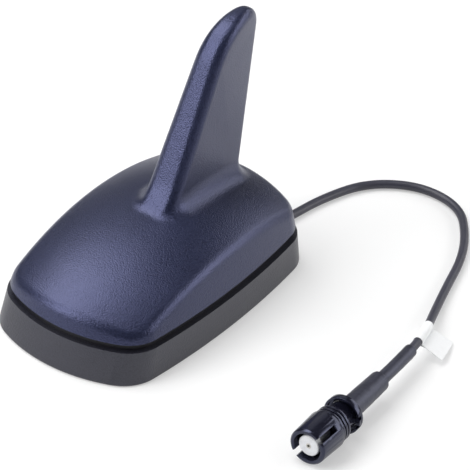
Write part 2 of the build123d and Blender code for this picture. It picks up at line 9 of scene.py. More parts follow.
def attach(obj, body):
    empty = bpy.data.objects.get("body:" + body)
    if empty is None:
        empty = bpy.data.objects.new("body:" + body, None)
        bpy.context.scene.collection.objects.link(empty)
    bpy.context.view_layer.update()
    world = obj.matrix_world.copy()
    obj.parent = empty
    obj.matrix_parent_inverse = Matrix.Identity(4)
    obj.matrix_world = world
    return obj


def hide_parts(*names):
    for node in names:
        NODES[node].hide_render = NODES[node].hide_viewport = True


bl_info = {
    "name": "Roof Aerial",
    "version": (1, 0, 0),
    "blender": (4, 5, 0),
    "location": "View3D > Sidebar > Roof Aerial",
    "description": "Dresses a roof aerial with a fin, a lead and a plug, and sets up its studio",
    "category": "Object",
}

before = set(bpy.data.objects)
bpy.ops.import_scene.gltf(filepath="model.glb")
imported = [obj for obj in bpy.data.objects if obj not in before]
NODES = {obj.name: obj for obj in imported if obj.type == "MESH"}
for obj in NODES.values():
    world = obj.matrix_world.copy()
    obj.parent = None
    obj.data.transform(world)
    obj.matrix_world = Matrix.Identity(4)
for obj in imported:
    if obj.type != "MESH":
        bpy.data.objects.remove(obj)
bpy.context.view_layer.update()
MM = 0.001

# The lead's route from the boot under the tray to the plug, in metres
ROUTE = (
    (0.0082, 0.0250, 0.0028),
    (0.0093, 0.0400, 0.0028),
    (0.0112, 0.0580, 0.00145),
    (0.0136, 0.0750, 0.00145),
    (0.0196, 0.0915, 0.00145),
    (0.0335, 0.1015, 0.00145),
    (0.0495, 0.1000, 0.00145),
    (0.0595, 0.0875, 0.00145),
    (0.0654, 0.0755, 0.00145),
    (0.0693, 0.0620, 0.00145),
    (0.0744, 0.0465, 0.0020),
    (0.0812, 0.0295, 0.0059),
    (0.0837, 0.0100, 0.0064),
    (0.08484, -0.0185, 0.0064),
)
PLUG_PIECES = ("plug_body", "plug_flange", "plug_core")

# The fin's trailing edge: a point on it, its rake, and the heights where its sides start and end drawing in
TAIL_POINT = (0.0, 44.7 * MM, 80.0 * MM)
TAIL_RAKE = radians(6.5)
TAIL_FADE = (43.0 * MM, 60.0 * MM)
TAIL_CUTS = 10
FADE_CUTS = 5

# Places on the lead, from its end: behind the end they are negative, in the plug positive
SMALL_SLEEVE_FRONT = -16.0 * MM
LARGE_SLEEVE_REAR = -20.0 * MM
LARGE_SLEEVE_FRONT = 0.0
CORE_SHOULDER = 11.6 * MM
DISC_BACK = 18.3 * MM
DISC_FRONT = 20.7 * MM

# Radii and gaps of the pieces on the lead
SLEEVE_GAP = 0.05 * MM
SLEEVE_LIP = 0.30 * MM
CRIMP_ROOM = 2.75 * MM
CORE_TAIL = 1.70 * MM
CORE_STEM = 1.95 * MM
CORE_DISC = 3.45 * MM
CORE_HOLE = 0.87 * MM

# The label: how much of a turn it wraps, its paper, and how its flag's two layers come together
LABEL_WRAP = 0.93
LABEL_GAP = 0.18 * MM
PAPER = 0.10 * MM
FLAG_STEPS = 10
CLOSING_STEPS = 4
CLOSING = 0.55
LAYERS_MEET = 0.07 * MM
LAYER_GAP = 0.06 * MM

# Edges sharper than these stay crisp, and the plug's edges are rounded past the last one
CRISP_MOULDING = radians(30)
CRISP_TURNED = radians(40)
CRISP_PAPER = radians(50)
ROUND_FROM = radians(35)

# Distances below which points count as one, in metres
JOIN_DISTANCE = 2e-6
SAME_PLACE = 1e-7

# Soft boxes: bearing from the nose and height in degrees, then the width and height of the face in metres
LAMPS = {
    "side_light": (278, 61, 0.66, 0.70),
    "nose_light": (330, 32, 0.44, 0.84),
    "top_light": (90, 86, 0.32, 0.32),
    "right_light": (122, 22, 0.64, 0.56),
    "tail_light": (162, 28, 0.60, 0.45),
    "back_light": (228, 36, 0.70, 0.70),
}
LAMP_CENTRE = (0.02, 0.02, 0.0)
LAMP_DISTANCE = 0.95
FLOOR_REACH = 12.0
FLOOR_DROP = 0.1 * MM
FLOOR_PLAIN = 0.85

# The camera turns about one point, and its picture is moved to the right of it and up
CAMERA_CENTRE = (0.0, 1.3 * MM, 0.0)
AIM_RIGHT = 25.54 * MM
AIM_UP = 16.31 * MM


# Settings

def colour(name, description, default):
    return FloatVectorProperty(name=name, description=description, subtype="COLOR", size=3,
                               min=0.0, max=1.0, default=default)


def length(name, description, default):
    return FloatProperty(name=name, description=description, unit="LENGTH", subtype="DISTANCE",
                         min=0.0, precision=5, default=default)


def share(name, description, default):
    return FloatProperty(name=name, description=description, subtype="FACTOR", min=0.0, max=1.0,
                         default=default)


def strength(name, description, default):
    return FloatProperty(name=name, description=description, min=0.0, default=default)


def turn(name, description, default):
    return FloatProperty(name=name, description=description, subtype="ANGLE", unit="ROTATION",
                         default=radians(default))


class HousingSettings(bpy.types.PropertyGroup):
    cover_colour: colour("Cover", "The cover's moulded plastic", (0.002, 0.003, 0.010))
    # A painted highlight: the colour given to the tops of the cover's grain, lighter than the plastic
    cover_grain_highlight: colour("Grain tops", "The lit tops of the cover's grain", (0.018, 0.022, 0.050))
    cover_sheen: colour("Cover sheen", "The tint of the cover's gloss", (0.52, 0.56, 1.0))
    cover_roughness: share("Cover roughness", "How dull the cover is", 0.31)
    grain_size: length("Grain", "Width of one grain on the cover", 0.38 * MM)
    grain_depth: length("Grain depth", "Height of the cover's grain", 0.052 * MM)
    tail_reach: length("Tail reach", "How far ahead of its trailing edge the fin starts to narrow", 21.0 * MM)
    tail_draw: share("Tail draw", "How much narrower the fin is at its trailing edge", 0.42)
    skirt_colour: colour("Skirt", "The skirt's rubber", (0.009, 0.009, 0.013))
    skirt_roughness: share("Skirt roughness", "How dull the rubber is", 0.36)
    tray_colour: colour("Tray", "The tray's plastic", (0.010, 0.010, 0.014))


class LeadSettings(bpy.types.PropertyGroup):
    diameter: length("Diameter", "Outside diameter of the lead's jacket", 2.8 * MM)
    length: length("Length", "Length of the lead, from end to end of its jacket", 225.6 * MM)
    jacket_colour: colour("Jacket", "The lead's jacket", (0.042, 0.042, 0.060))
    sleeve_colour: colour("Sleeves", "The shrunk sleeves", (0.022, 0.022, 0.032))
    paper_colour: colour("Label", "The label's paper", (0.93, 0.94, 0.95))
    label_start: length("Label place", "From the jacket's end to the label", 44.7 * MM)
    label_length: length("Label length", "Length of the label along the lead", 11.6 * MM)
    flag_length: length("Flag", "How far the label's flag stands out", 7.6 * MM)
    flag_droop: turn("Flag droop", "How far the flag hangs below level", 25.0)
    small_sleeve_diameter: length("Small sleeve", "Outside diameter of the small sleeve", 4.3 * MM)
    small_sleeve_end: length("Small sleeve's end", "From the jacket's end to the sleeve's far end", 39.5 * MM)
    large_sleeve_diameter: length("Large sleeve", "Outside diameter of the large sleeve", 7.5 * MM)
    taper: length("Taper", "How much thinner the large sleeve's wall is at its rear", 0.42 * MM)
    wrinkle: length("Wrinkles", "How deep the sleeves' wrinkles are", 0.13 * MM)


class PlugSettings(bpy.types.PropertyGroup):
    plastic_colour: colour("Plastic", "The plug's plastic", (0.006, 0.006, 0.012))
    plastic_roughness: share("Roughness", "How dull the plug is", 0.18)
    insulator_colour: colour("Insulator", "The white insulator", (0.80, 0.81, 0.84))
    contact_colour: colour("Contact", "The contact's plating", (0.62, 0.60, 0.56))
    edge_round: length("Edges", "Round on the plug's edges", 0.12 * MM)


class StageSettings(bpy.types.PropertyGroup):
    azimuth: turn("Azimuth", "The camera's bearing from the nose", 33.0)
    elevation: turn("Elevation", "The camera's height above level", 36.0)
    lean: turn("Lean", "How far the picture is turned", 5.0)
    distance: length("Distance", "From the camera to the aerial", 1.5)
    focal: FloatProperty(name="Focal length", description="Of the camera, in millimetres",
                         subtype="DISTANCE_CAMERA", default=373.4)
    side_light: strength("Side light", "Brightness of the soft box on the left", 4.3)
    nose_light: strength("Nose light", "Brightness of the soft box ahead on the left", 5.2)
    top_light: strength("Top light", "Brightness of the soft box overhead", 2.4)
    right_light: strength("Right light", "Brightness of the low soft box on the right", 3.0)
    tail_light: strength("Tail light", "Brightness of the soft box behind on the right", 2.0)
    back_light: strength("Back light", "Brightness of the soft box behind on the left", 0.35)
    fill_light: strength("Fill", "Brightness of the room", 0.10)
    floor_glow: share("Floor glow", "Part of the floor's white that no shadow takes away", 0.38)
    floor_white: share("Floor white", "Part of the floor's white that a shadow takes away", 0.58)


# Finishes

class Finish:
    """A material under construction: its node tree, its shader and the usual nodes."""

    def __init__(self, name, roughness, specular=0.5):
        self.material = bpy.data.materials.new(name)
        self.material.use_nodes = True
        self.tree = self.material.node_tree
        self.shader = self.tree.nodes["Principled BSDF"]
        self.shader.inputs["Roughness"].default_value = roughness
        self.shader.inputs["Specular IOR Level"].default_value = specular
        self.place = self.node("ShaderNodeTexCoord").outputs["Object"]

    def node(self, kind, links=None, **settings):
        """A new node with its settings, its sockets set or linked."""
        made = self.tree.nodes.new(kind)
        for key, value in settings.items():
            setattr(made, key, value)
        for key, value in (links or {}).items():
            self.feed(made.inputs[key], value)
        return made

    def feed(self, socket, value):
        """Links a socket to another, or sets it to a constant."""
        if isinstance(value, bpy.types.NodeSocket):
            self.tree.links.new(value, socket)
        elif hasattr(value, "__len__") and len(value) == 3 and socket.type == "RGBA":
            socket.default_value = (*value, 1.0)
        else:
            socket.default_value = value

    def set(self, socket, value):
        """Feeds a socket of the shader."""
        self.feed(self.shader.inputs[socket], value)

    def spread(self, scale):
        """The place on the piece, stretched for a pattern."""
        return self.node("ShaderNodeMapping", {"Vector": self.place, "Scale": scale}).outputs["Vector"]

    def clouds(self, size, detail=3.0, at=None):
        """Noise whose clouds are about as wide as size."""
        return self.node("ShaderNodeTexNoise", {
            "Vector": at or self.place, "Scale": 1.0 / size, "Detail": detail}).outputs["Fac"]

    def cells(self, size):
        """Rounded cells about as wide as size: 0 in a cell's middle."""
        return self.node("ShaderNodeTexVoronoi", {
            "Vector": self.place, "Scale": 1.0 / size}, feature="SMOOTH_F1").outputs["Distance"]

    def grain_tops(self, size):
        """A rounded grain about as wide as size: 1 on its tops and 0 between them."""
        return self.contrast(self.cells(size), 0.75, 0.15)

    def between(self, factor, low, high):
        """A number that goes from low to high with a factor of 0 to 1."""
        return self.node("ShaderNodeMapRange", {
            "Value": factor, "To Min": low, "To Max": high}).outputs["Result"]

    def contrast(self, factor, low, high):
        """A factor stretched so that low becomes 0 and high becomes 1."""
        return self.node("ShaderNodeMapRange", {
            "Value": factor, "From Min": low, "From Max": high}).outputs["Result"]

    def blend(self, factor, first, second):
        """A colour that goes from the first to the second with a factor of 0 to 1."""
        mix = self.node("ShaderNodeMix", data_type="RGBA")
        self.feed(mix.inputs["Factor"], factor)
        self.feed(mix.inputs[6], first)
        self.feed(mix.inputs[7], second)
        return mix.outputs[2]

    def relief(self, height, depth, under=None):
        """Bump with a depth in metres, on top of another bump."""
        made = self.node("ShaderNodeBump", {"Height": height, "Distance": depth, "Strength": 1.0})
        if under:
            self.feed(made.inputs["Normal"], under)
        return made.outputs["Normal"]


def shifted(rgb, factor):
    """A colour made darker or lighter."""
    return tuple(min(1.0, part * factor) for part in rgb)


def moulded_grain(settings):
    """The cover's plastic: a fine leathery grain from the mould with a painted highlight on the grain's tops,
    dulled unevenly by handling.
    """
    rgb, roughness, size = settings.cover_colour, settings.cover_roughness, settings.grain_size
    finish = Finish("moulded_grain", roughness, 1.0)
    finish.set("Specular Tint", tuple(settings.cover_sheen))
    tops = finish.grain_tops(size)
    fine = finish.clouds(size * 0.55)
    broad = finish.clouds(18 * MM)
    body = finish.blend(finish.contrast(broad, 0.3, 0.7), rgb, shifted(rgb, 1.18))
    # Painted highlight: the grain's tops are coloured lighter than the plastic around them
    finish.set("Base Color", finish.blend(tops, body, settings.cover_grain_highlight))
    finish.set("Roughness", finish.between(broad, roughness - 0.05, roughness + 0.06))
    grain = finish.relief(tops, settings.grain_depth)
    finish.set("Normal", finish.relief(fine, settings.grain_depth * 0.5, grain))
    return finish.material


def skirt_rubber(settings):
    """The skirt's rubber: dull and finely grained with a painted highlight on the grain's tops, with faint
    flow streaks round it and a little bloom.
    """
    rgb, roughness = settings.skirt_colour, settings.skirt_roughness
    finish = Finish("skirt_rubber", roughness, 0.75)
    finish.set("Specular Tint", (0.88, 0.89, 1.0))
    streaks = finish.clouds(4 * MM, 4.0, finish.spread((0.25, 0.25, 2.5)))
    bloom = finish.clouds(14 * MM, 4.0)
    tops = finish.grain_tops(settings.grain_size)
    body = finish.blend(finish.contrast(streaks, 0.35, 0.7), rgb, shifted(rgb, 1.5))
    body = finish.blend(finish.contrast(bloom, 0.45, 0.9), body, shifted(rgb, 2.2))
    # Painted highlight: the grain's tops are coloured lighter than the rubber around them
    finish.set("Base Color", finish.blend(tops, body, shifted(rgb, 2.6)))
    finish.set("Roughness", finish.between(bloom, roughness - 0.08, roughness + 0.08))
    under = finish.relief(streaks, 0.05 * MM)
    finish.set("Normal", finish.relief(tops, settings.grain_depth * 0.8, under))
    return finish.material


def plain_moulding(name, rgb, roughness):
    """A plain moulded or pressed finish with a fine grain and a slightly uneven colour."""
    finish = Finish(name, roughness)
    broad = finish.clouds(8 * MM)
    fine = finish.clouds(0.5 * MM)
    finish.set("Base Color", finish.blend(broad, shifted(rgb, 0.82), shifted(rgb, 1.2)))
    finish.set("Roughness", finish.between(broad, roughness - 0.07, roughness + 0.07))
    finish.set("Normal", finish.relief(fine, 0.01 * MM))
    return finish.material


def worked_metal(name, rgb, roughness, stretch):
    """Plated or turned metal with fine tool lines stretched one way."""
    finish = Finish(name, roughness)
    finish.set("Metallic", 1.0)
    lines = finish.clouds(0.9 * MM, 4.0, finish.spread(stretch))
    tarnish = finish.clouds(3 * MM)
    finish.set("Base Color", finish.blend(tarnish, shifted(rgb, 0.75), shifted(rgb, 1.1)))
    finish.set("Roughness", finish.between(lines, roughness - 0.1, roughness + 0.12))
    finish.set("Normal", finish.relief(lines, 0.008 * MM))
    return finish.material


def lead_jacket(settings):
    """The lead's jacket: slightly uneven, with a fine grain and a soft sheen."""
    rgb = settings.jacket_colour
    finish = Finish("lead_jacket", 0.40)
    uneven = finish.clouds(6 * MM)
    fine = finish.clouds(0.6 * MM)
    finish.set("Base Color", finish.blend(uneven, shifted(rgb, 0.8), shifted(rgb, 1.3)))
    finish.set("Roughness", finish.between(fine, 0.34, 0.48))
    finish.set("Normal", finish.relief(fine, 0.010 * MM))
    return finish.material


def shrunk_sleeve(settings):
    """The sleeves: shrunk tubing, dull, with a faint crackle and rubbed streaks."""
    rgb = settings.sleeve_colour
    finish = Finish("shrunk_sleeve", 0.40, 0.75)
    finish.set("Specular Tint", (0.72, 0.75, 1.0))
    crackle = finish.cells(1.1 * MM)
    rubbed = finish.clouds(2.8 * MM, 4.0, finish.spread((2.0, 0.5, 2.0)))
    fine = finish.clouds(0.4 * MM)
    streaks = finish.contrast(rubbed, 0.35, 0.72)
    finish.set("Base Color", finish.blend(streaks, shifted(rgb, 0.75), shifted(rgb, 1.45)))
    finish.set("Roughness", finish.between(rubbed, 0.30, 0.50))
    under = finish.relief(crackle, 0.035 * MM)
    finish.set("Normal", finish.relief(fine, 0.015 * MM, under))
    return finish.material


def label_paper(settings):
    """The label's paper: white, with faint fibres and a little soil."""
    rgb = settings.paper_colour
    finish = Finish("label_paper", 0.62, 0.35)
    fibres = finish.clouds(0.5 * MM, 5.0, finish.spread((1.0, 2.5, 1.0)))
    soil = finish.clouds(4 * MM)
    body = finish.blend(finish.contrast(fibres, 0.3, 0.7), shifted(rgb, 0.94), rgb)
    finish.set("Base Color", finish.blend(finish.contrast(soil, 0.55, 0.95), body, shifted(rgb, 0.85)))
    finish.set("Normal", finish.relief(fibres, 0.012 * MM))
    return finish.material


def plug_plastic(settings):
    """The plug's plastic: black and fairly glossy, with a fine grain."""
    rgb, roughness = settings.plastic_colour, settings.plastic_roughness
    finish = Finish("plug_plastic", roughness, 0.75)
    finish.set("Specular Tint", (0.62, 0.67, 1.0))
    uneven = finish.clouds(4 * MM)
    fine = finish.clouds(0.5 * MM)
    finish.set("Base Color", finish.blend(uneven, shifted(rgb, 0.8), shifted(rgb, 1.4)))
    finish.set("Roughness", finish.between(uneven, roughness - 0.05, roughness + 0.10))
    finish.set("Normal", finish.relief(fine, 0.010 * MM))
    return finish.material


def white_insulator(settings):
    """The insulator: waxy white, with faint marks and specks."""
    rgb = settings.insulator_colour
    finish = Finish("white_insulator", 0.38, 0.4)
    specks = finish.clouds(0.7 * MM, 4.0)
    marks = finish.clouds(1.6 * MM)
    body = finish.blend(finish.contrast(marks, 0.35, 0.7), shifted(rgb, 0.88), rgb)
    finish.set("Base Color", finish.blend(finish.contrast(specks, 0.62, 0.8), body, shifted(rgb, 0.72)))
    finish.set("Normal", finish.relief(specks, 0.010 * MM))
    return finish.material


def circuit_board():
    """The main board: green resist over faint tracks, with a fine weave."""
    finish = Finish("circuit_board", 0.32)
    tracks = finish.node("ShaderNodeTexBrick", {
        "Vector": finish.place, "Scale": 160.0, "Mortar Size": 0.06,
        "Color1": (0.010, 0.050, 0.022), "Color2": (0.012, 0.060, 0.026),
        "Mortar": (0.030, 0.120, 0.050)}).outputs["Color"]
    weave = finish.clouds(0.7 * MM, 2.0)
    finish.set("Base Color", finish.blend(finish.contrast(weave, 0.4, 0.9), tracks, (0.02, 0.085, 0.04)))
    finish.set("Normal", finish.relief(weave, 0.01 * MM))
    return finish.material


# Making pieces

def new_piece(name, bm, material, slot, *nodes):
    """An object of the aerial from a bmesh, in its place at the origin, riding on the body."""
    mesh = bpy.data.meshes.new(name)
    bm.to_mesh(mesh)
    bm.free()
    mesh.materials.append(material)
    piece = bpy.data.objects.new(name, mesh)
    bpy.context.collection.objects.link(piece)
    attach(piece, "root")
    if nodes:
        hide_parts(*nodes)
    return piece


def paint(material, *nodes):
    """Gives nodes of the model their finish."""
    for node in nodes:
        materials = NODES[node].data.materials
        materials.clear()
        materials.append(material)


def shade(bm, limit):
    """Smooth faces, with edges sharper than a limit left crisp."""
    for face in bm.faces:
        face.smooth = True
    for edge in bm.edges:
        edge.smooth = len(edge.link_faces) == 2 and edge.calc_face_angle(0.0) < limit


def merged(node):
    """A copy of a node's mesh with its loose triangles joined."""
    bm = bmesh.new()
    bm.from_mesh(NODES[node].data)
    bmesh.ops.remove_doubles(bm, verts=bm.verts, dist=JOIN_DISTANCE)
    return bm


def soften(bm, width, limit):
    """Rounds the edges that are sharper than a limit."""
    bmesh.ops.dissolve_limit(bm, angle_limit=radians(0.5), verts=bm.verts, edges=bm.edges)
    sharp = [edge for edge in bm.edges if len(edge.link_faces) == 2 and edge.calc_face_angle(0.0) > limit]
    bmesh.ops.bevel(bm, geom=sharp, offset=width, offset_type="OFFSET", segments=2, profile=0.5,
                    affect="EDGES", clamp_overlap=True, material=-1)


def spun(profile, steps):
    """A bmesh turned about X from points of distance and radius."""
    bm = bmesh.new()
    points = [bm.verts.new((along, 0.0, radius)) for along, radius in profile]
    edges = [bm.edges.new(pair) for pair in zip(points, points[1:] + points[:1])]
    bmesh.ops.spin(bm, geom=points + edges, cent=(0, 0, 0), axis=(1, 0, 0), angle=2 * pi, steps=steps,
                   use_merge=True)
    bmesh.ops.remove_doubles(bm, verts=bm.verts, dist=SAME_PLACE)
    bmesh.ops.recalc_face_normals(bm, faces=bm.faces)
    return bm


def wrinkle(bm, inside, depth, seed):
    """Draws the outside of a straight sleeve in and out unevenly."""
    broad_run, fine_run = 3.0 * MM, 1.0 * MM
    for vert in bm.verts:
        radius = (vert.co.y ** 2 + vert.co.z ** 2) ** 0.5
        if radius <= inside + SLEEVE_GAP:
            continue
        angle = atan2(vert.co.z, vert.co.y)
        broad = Vector((vert.co.x / broad_run, cos(angle) * 1.6 + seed, sin(angle) * 1.6))
        fine = Vector((vert.co.x / fine_run, cos(angle) * 4.0, sin(angle) * 4.0 + seed))
        change = -depth * (0.5 + 0.5 * noise.noise(broad)) - depth * 0.35 * noise.noise(fine)
        vert.co.y += change * cos(angle)
        vert.co.z += change * sin(angle)


def ragged(bm, end, reach, depth, seed):
    """Draws the cut end of a straight sleeve in and out unevenly."""
    for vert in bm.verts:
        near = 1.0 - (vert.co.x - end) / reach
        if near <= 0.0:
            continue
        angle = atan2(vert.co.z, vert.co.y)
        broad = Vector((cos(angle) * 1.8, sin(angle) * 1.8, seed))
        fine = Vector((cos(angle) * 6.0, sin(angle) * 6.0, seed))
        vert.co.x += near * depth * (0.6 + 0.8 * noise.noise(broad) + 0.3 * noise.noise(fine))


def route_curve(name):
    """The lead's route as one smooth spline."""
    data = bpy.data.curves.new(name, "CURVE")
    data.dimensions = "3D"
    data.resolution_u = 24
    spline = data.splines.new("NURBS")
    spline.points.add(len(ROUTE) - 1)
    for point, place in zip(spline.points, ROUTE):
        point.co = (*place, 1.0)
    spline.order_u = 3
    spline.use_endpoint_u = True
    made = bpy.data.objects.new(name, data)
    bpy.context.collection.objects.link(made)
    return made


class LeadLine:
    """The lead's own line, read from its spline: places on it by distance back from its end."""

    def __init__(self):
        spline = route_curve("lead_line")
        mesh = bpy.data.meshes.new_from_object(spline)
        self.points = [vert.co.copy() for vert in mesh.vertices]
        bpy.data.objects.remove(spline)
        bpy.data.meshes.remove(mesh)

    def place(self, back):
        """Point, direction towards the plug, left side and upward side at a distance from the end."""
        end = len(self.points) - 1
        run = self.points[end] - self.points[end - 1]
        while back > run.length and end > 1:
            back -= run.length
            end -= 1
            run = self.points[end] - self.points[end - 1]
        along = run.normalized()
        before = (self.points[end - 1] - self.points[max(end - 2, 0)]).normalized()
        after = self.points[min(end + 1, len(self.points) - 1)] - self.points[end]
        after = after.normalized() if after.length else along
        part = min(max(1.0 - back / run.length, 0.0), 1.0)
        smooth = (before + along).lerp(along + after, part).normalized()
        side = Vector((0, 0, 1)).cross(smooth).normalized()
        return self.points[end] - along * back, smooth, side, smooth.cross(side)

    def lay(self, bm):
        """Bends a straight piece on to the lead: X is its distance from the lead's end."""
        for vert in bm.verts:
            x, y, z = vert.co
            point, along, side, up = self.place(max(-x, 0.0))
            vert.co = point + along * max(x, 0.0) + side * y + up * z


# Operators

class AERIAL_OT_housing(bpy.types.Operator):
    """Dress the cover with its fin, the skirt, the tray and the seals"""
    bl_idname = "aerial.housing"
    bl_label = "Housing"

    def execute(self, context):
        settings = context.scene.aerial_housing
        cover = merged("fin_cover")
        self.draw_in(cover, settings)
        shade(cover, CRISP_MOULDING)
        new_piece("cover", cover, moulded_grain(settings), "cover", "fin_cover")
        skirt = merged("base_gasket")
        shade(skirt, CRISP_MOULDING)
        new_piece("skirt", skirt, skirt_rubber(settings), "skirt_rubber", "base_gasket")
        paint(plain_moulding("tray_plastic", settings.tray_colour, 0.5), "base_plate")
        paint(plain_moulding("seal_rubber", (0.014, 0.014, 0.016), 0.7), "cover_seal", "hub_seal")
        return {"FINISHED"}

    def draw_in(self, bm, settings):
        """Curves the fin's flat sides in towards its trailing edge."""
        across = Vector((0.0, cos(TAIL_RAKE), -sin(TAIL_RAKE)))
        tail = Vector(TAIL_POINT)
        upright = Vector((0.0, 0.0, 1.0))
        low, high = TAIL_FADE
        cuts = []
        for i in range(1, TAIL_CUTS + 1):
            cuts.append((tail - across * settings.tail_reach * i / TAIL_CUTS, across))
        for i in range(1, FADE_CUTS + 1):
            cuts.append((upright * (low + (high - low) * i / FADE_CUTS), upright))
        for place, normal in cuts:
            fin = [face for face in bm.faces if all(vert.co.z > low for vert in face.verts)]
            edges = {edge for face in fin for edge in face.edges}
            corners = {vert for face in fin for vert in face.verts}
            whole = [*fin, *edges, *corners]
            bmesh.ops.bisect_plane(bm, geom=whole, dist=SAME_PLACE, plane_co=place, plane_no=normal)
        for vert in bm.verts:
            near = min(max(1.0 - (tail - vert.co).dot(across) / settings.tail_reach, 0.0), 1.0)
            rise = min(max((vert.co.z - low) / (high - low), 0.0), 1.0)
            vert.co.x *= 1.0 - settings.tail_draw * near * near * rise * rise * (3.0 - 2.0 * rise)


class AERIAL_OT_fittings(bpy.types.Operator):
    """Finish the roof mount, the screws and the boards inside"""
    bl_idname = "aerial.fittings"
    bl_label = "Fittings"

    def execute(self, context):
        brass = worked_metal("brass", (0.62, 0.42, 0.16), 0.34, (0.3, 0.3, 3.0))
        steel = worked_metal("screw_steel", (0.55, 0.55, 0.56), 0.36, (2.0, 2.0, 0.4))
        tin = worked_metal("tinplate", (0.60, 0.61, 0.63), 0.30, (0.3, 3.0, 3.0))
        copper = worked_metal("copper", (0.72, 0.34, 0.18), 0.32, (3.0, 0.4, 3.0))
        paint(brass, "mount_insert")
        paint(steel, "cover_screws", "board_screws")
        paint(tin, "shield_can", "radiator_brackets", "ground_ferrule", "crimp_ferrule")
        paint(copper, "matching_coil", "coax_core")
        paint(circuit_board(), "main_board", "fin_radiator")
        paint(plain_moulding("chip", (0.012, 0.012, 0.013), 0.45), "amplifier_chip")
        paint(plain_moulding("capacitor", (0.30, 0.19, 0.10), 0.4), "board_capacitors")
        return {"FINISHED"}


class AERIAL_OT_plug(bpy.types.Operator):
    """Finish the plug on the lead's end"""
    bl_idname = "aerial.plug"
    bl_label = "Plug"

    def execute(self, context):
        settings = context.scene.aerial_plug
        plastic = plug_plastic(settings)
        for name, node in (("plug_body", "plug_shell"), ("plug_flange", "plug_collar")):
            bm = merged(node)
            soften(bm, settings.edge_round, ROUND_FROM)
            shade(bm, CRISP_TURNED)
            new_piece(name, bm, plastic, "plug_plastic", node)
        new_piece("plug_core", self.core(settings), white_insulator(settings), "insulator", "plug_insulator")
        paint(worked_metal("contact", tuple(settings.contact_colour), 0.3, (3.0, 0.4, 3.0)), "plug_contact")
        return {"FINISHED"}

    def core(self, settings):
        """The insulator: a white disc in the plug's mouth, on a thinner stem."""
        edge = 2 * settings.edge_round
        bm = spun([
            (0.0, CORE_HOLE),
            (0.0, CORE_TAIL),
            (CORE_SHOULDER, CORE_TAIL),
            (CORE_SHOULDER, CORE_STEM),
            (DISC_BACK, CORE_STEM),
            (DISC_BACK, CORE_DISC - edge),
            (DISC_BACK + edge, CORE_DISC),
            (DISC_FRONT - edge, CORE_DISC),
            (DISC_FRONT, CORE_DISC - edge),
            (DISC_FRONT, CORE_HOLE),
        ], 64)
        LeadLine().lay(bm)
        shade(bm, CRISP_TURNED)
        return bm


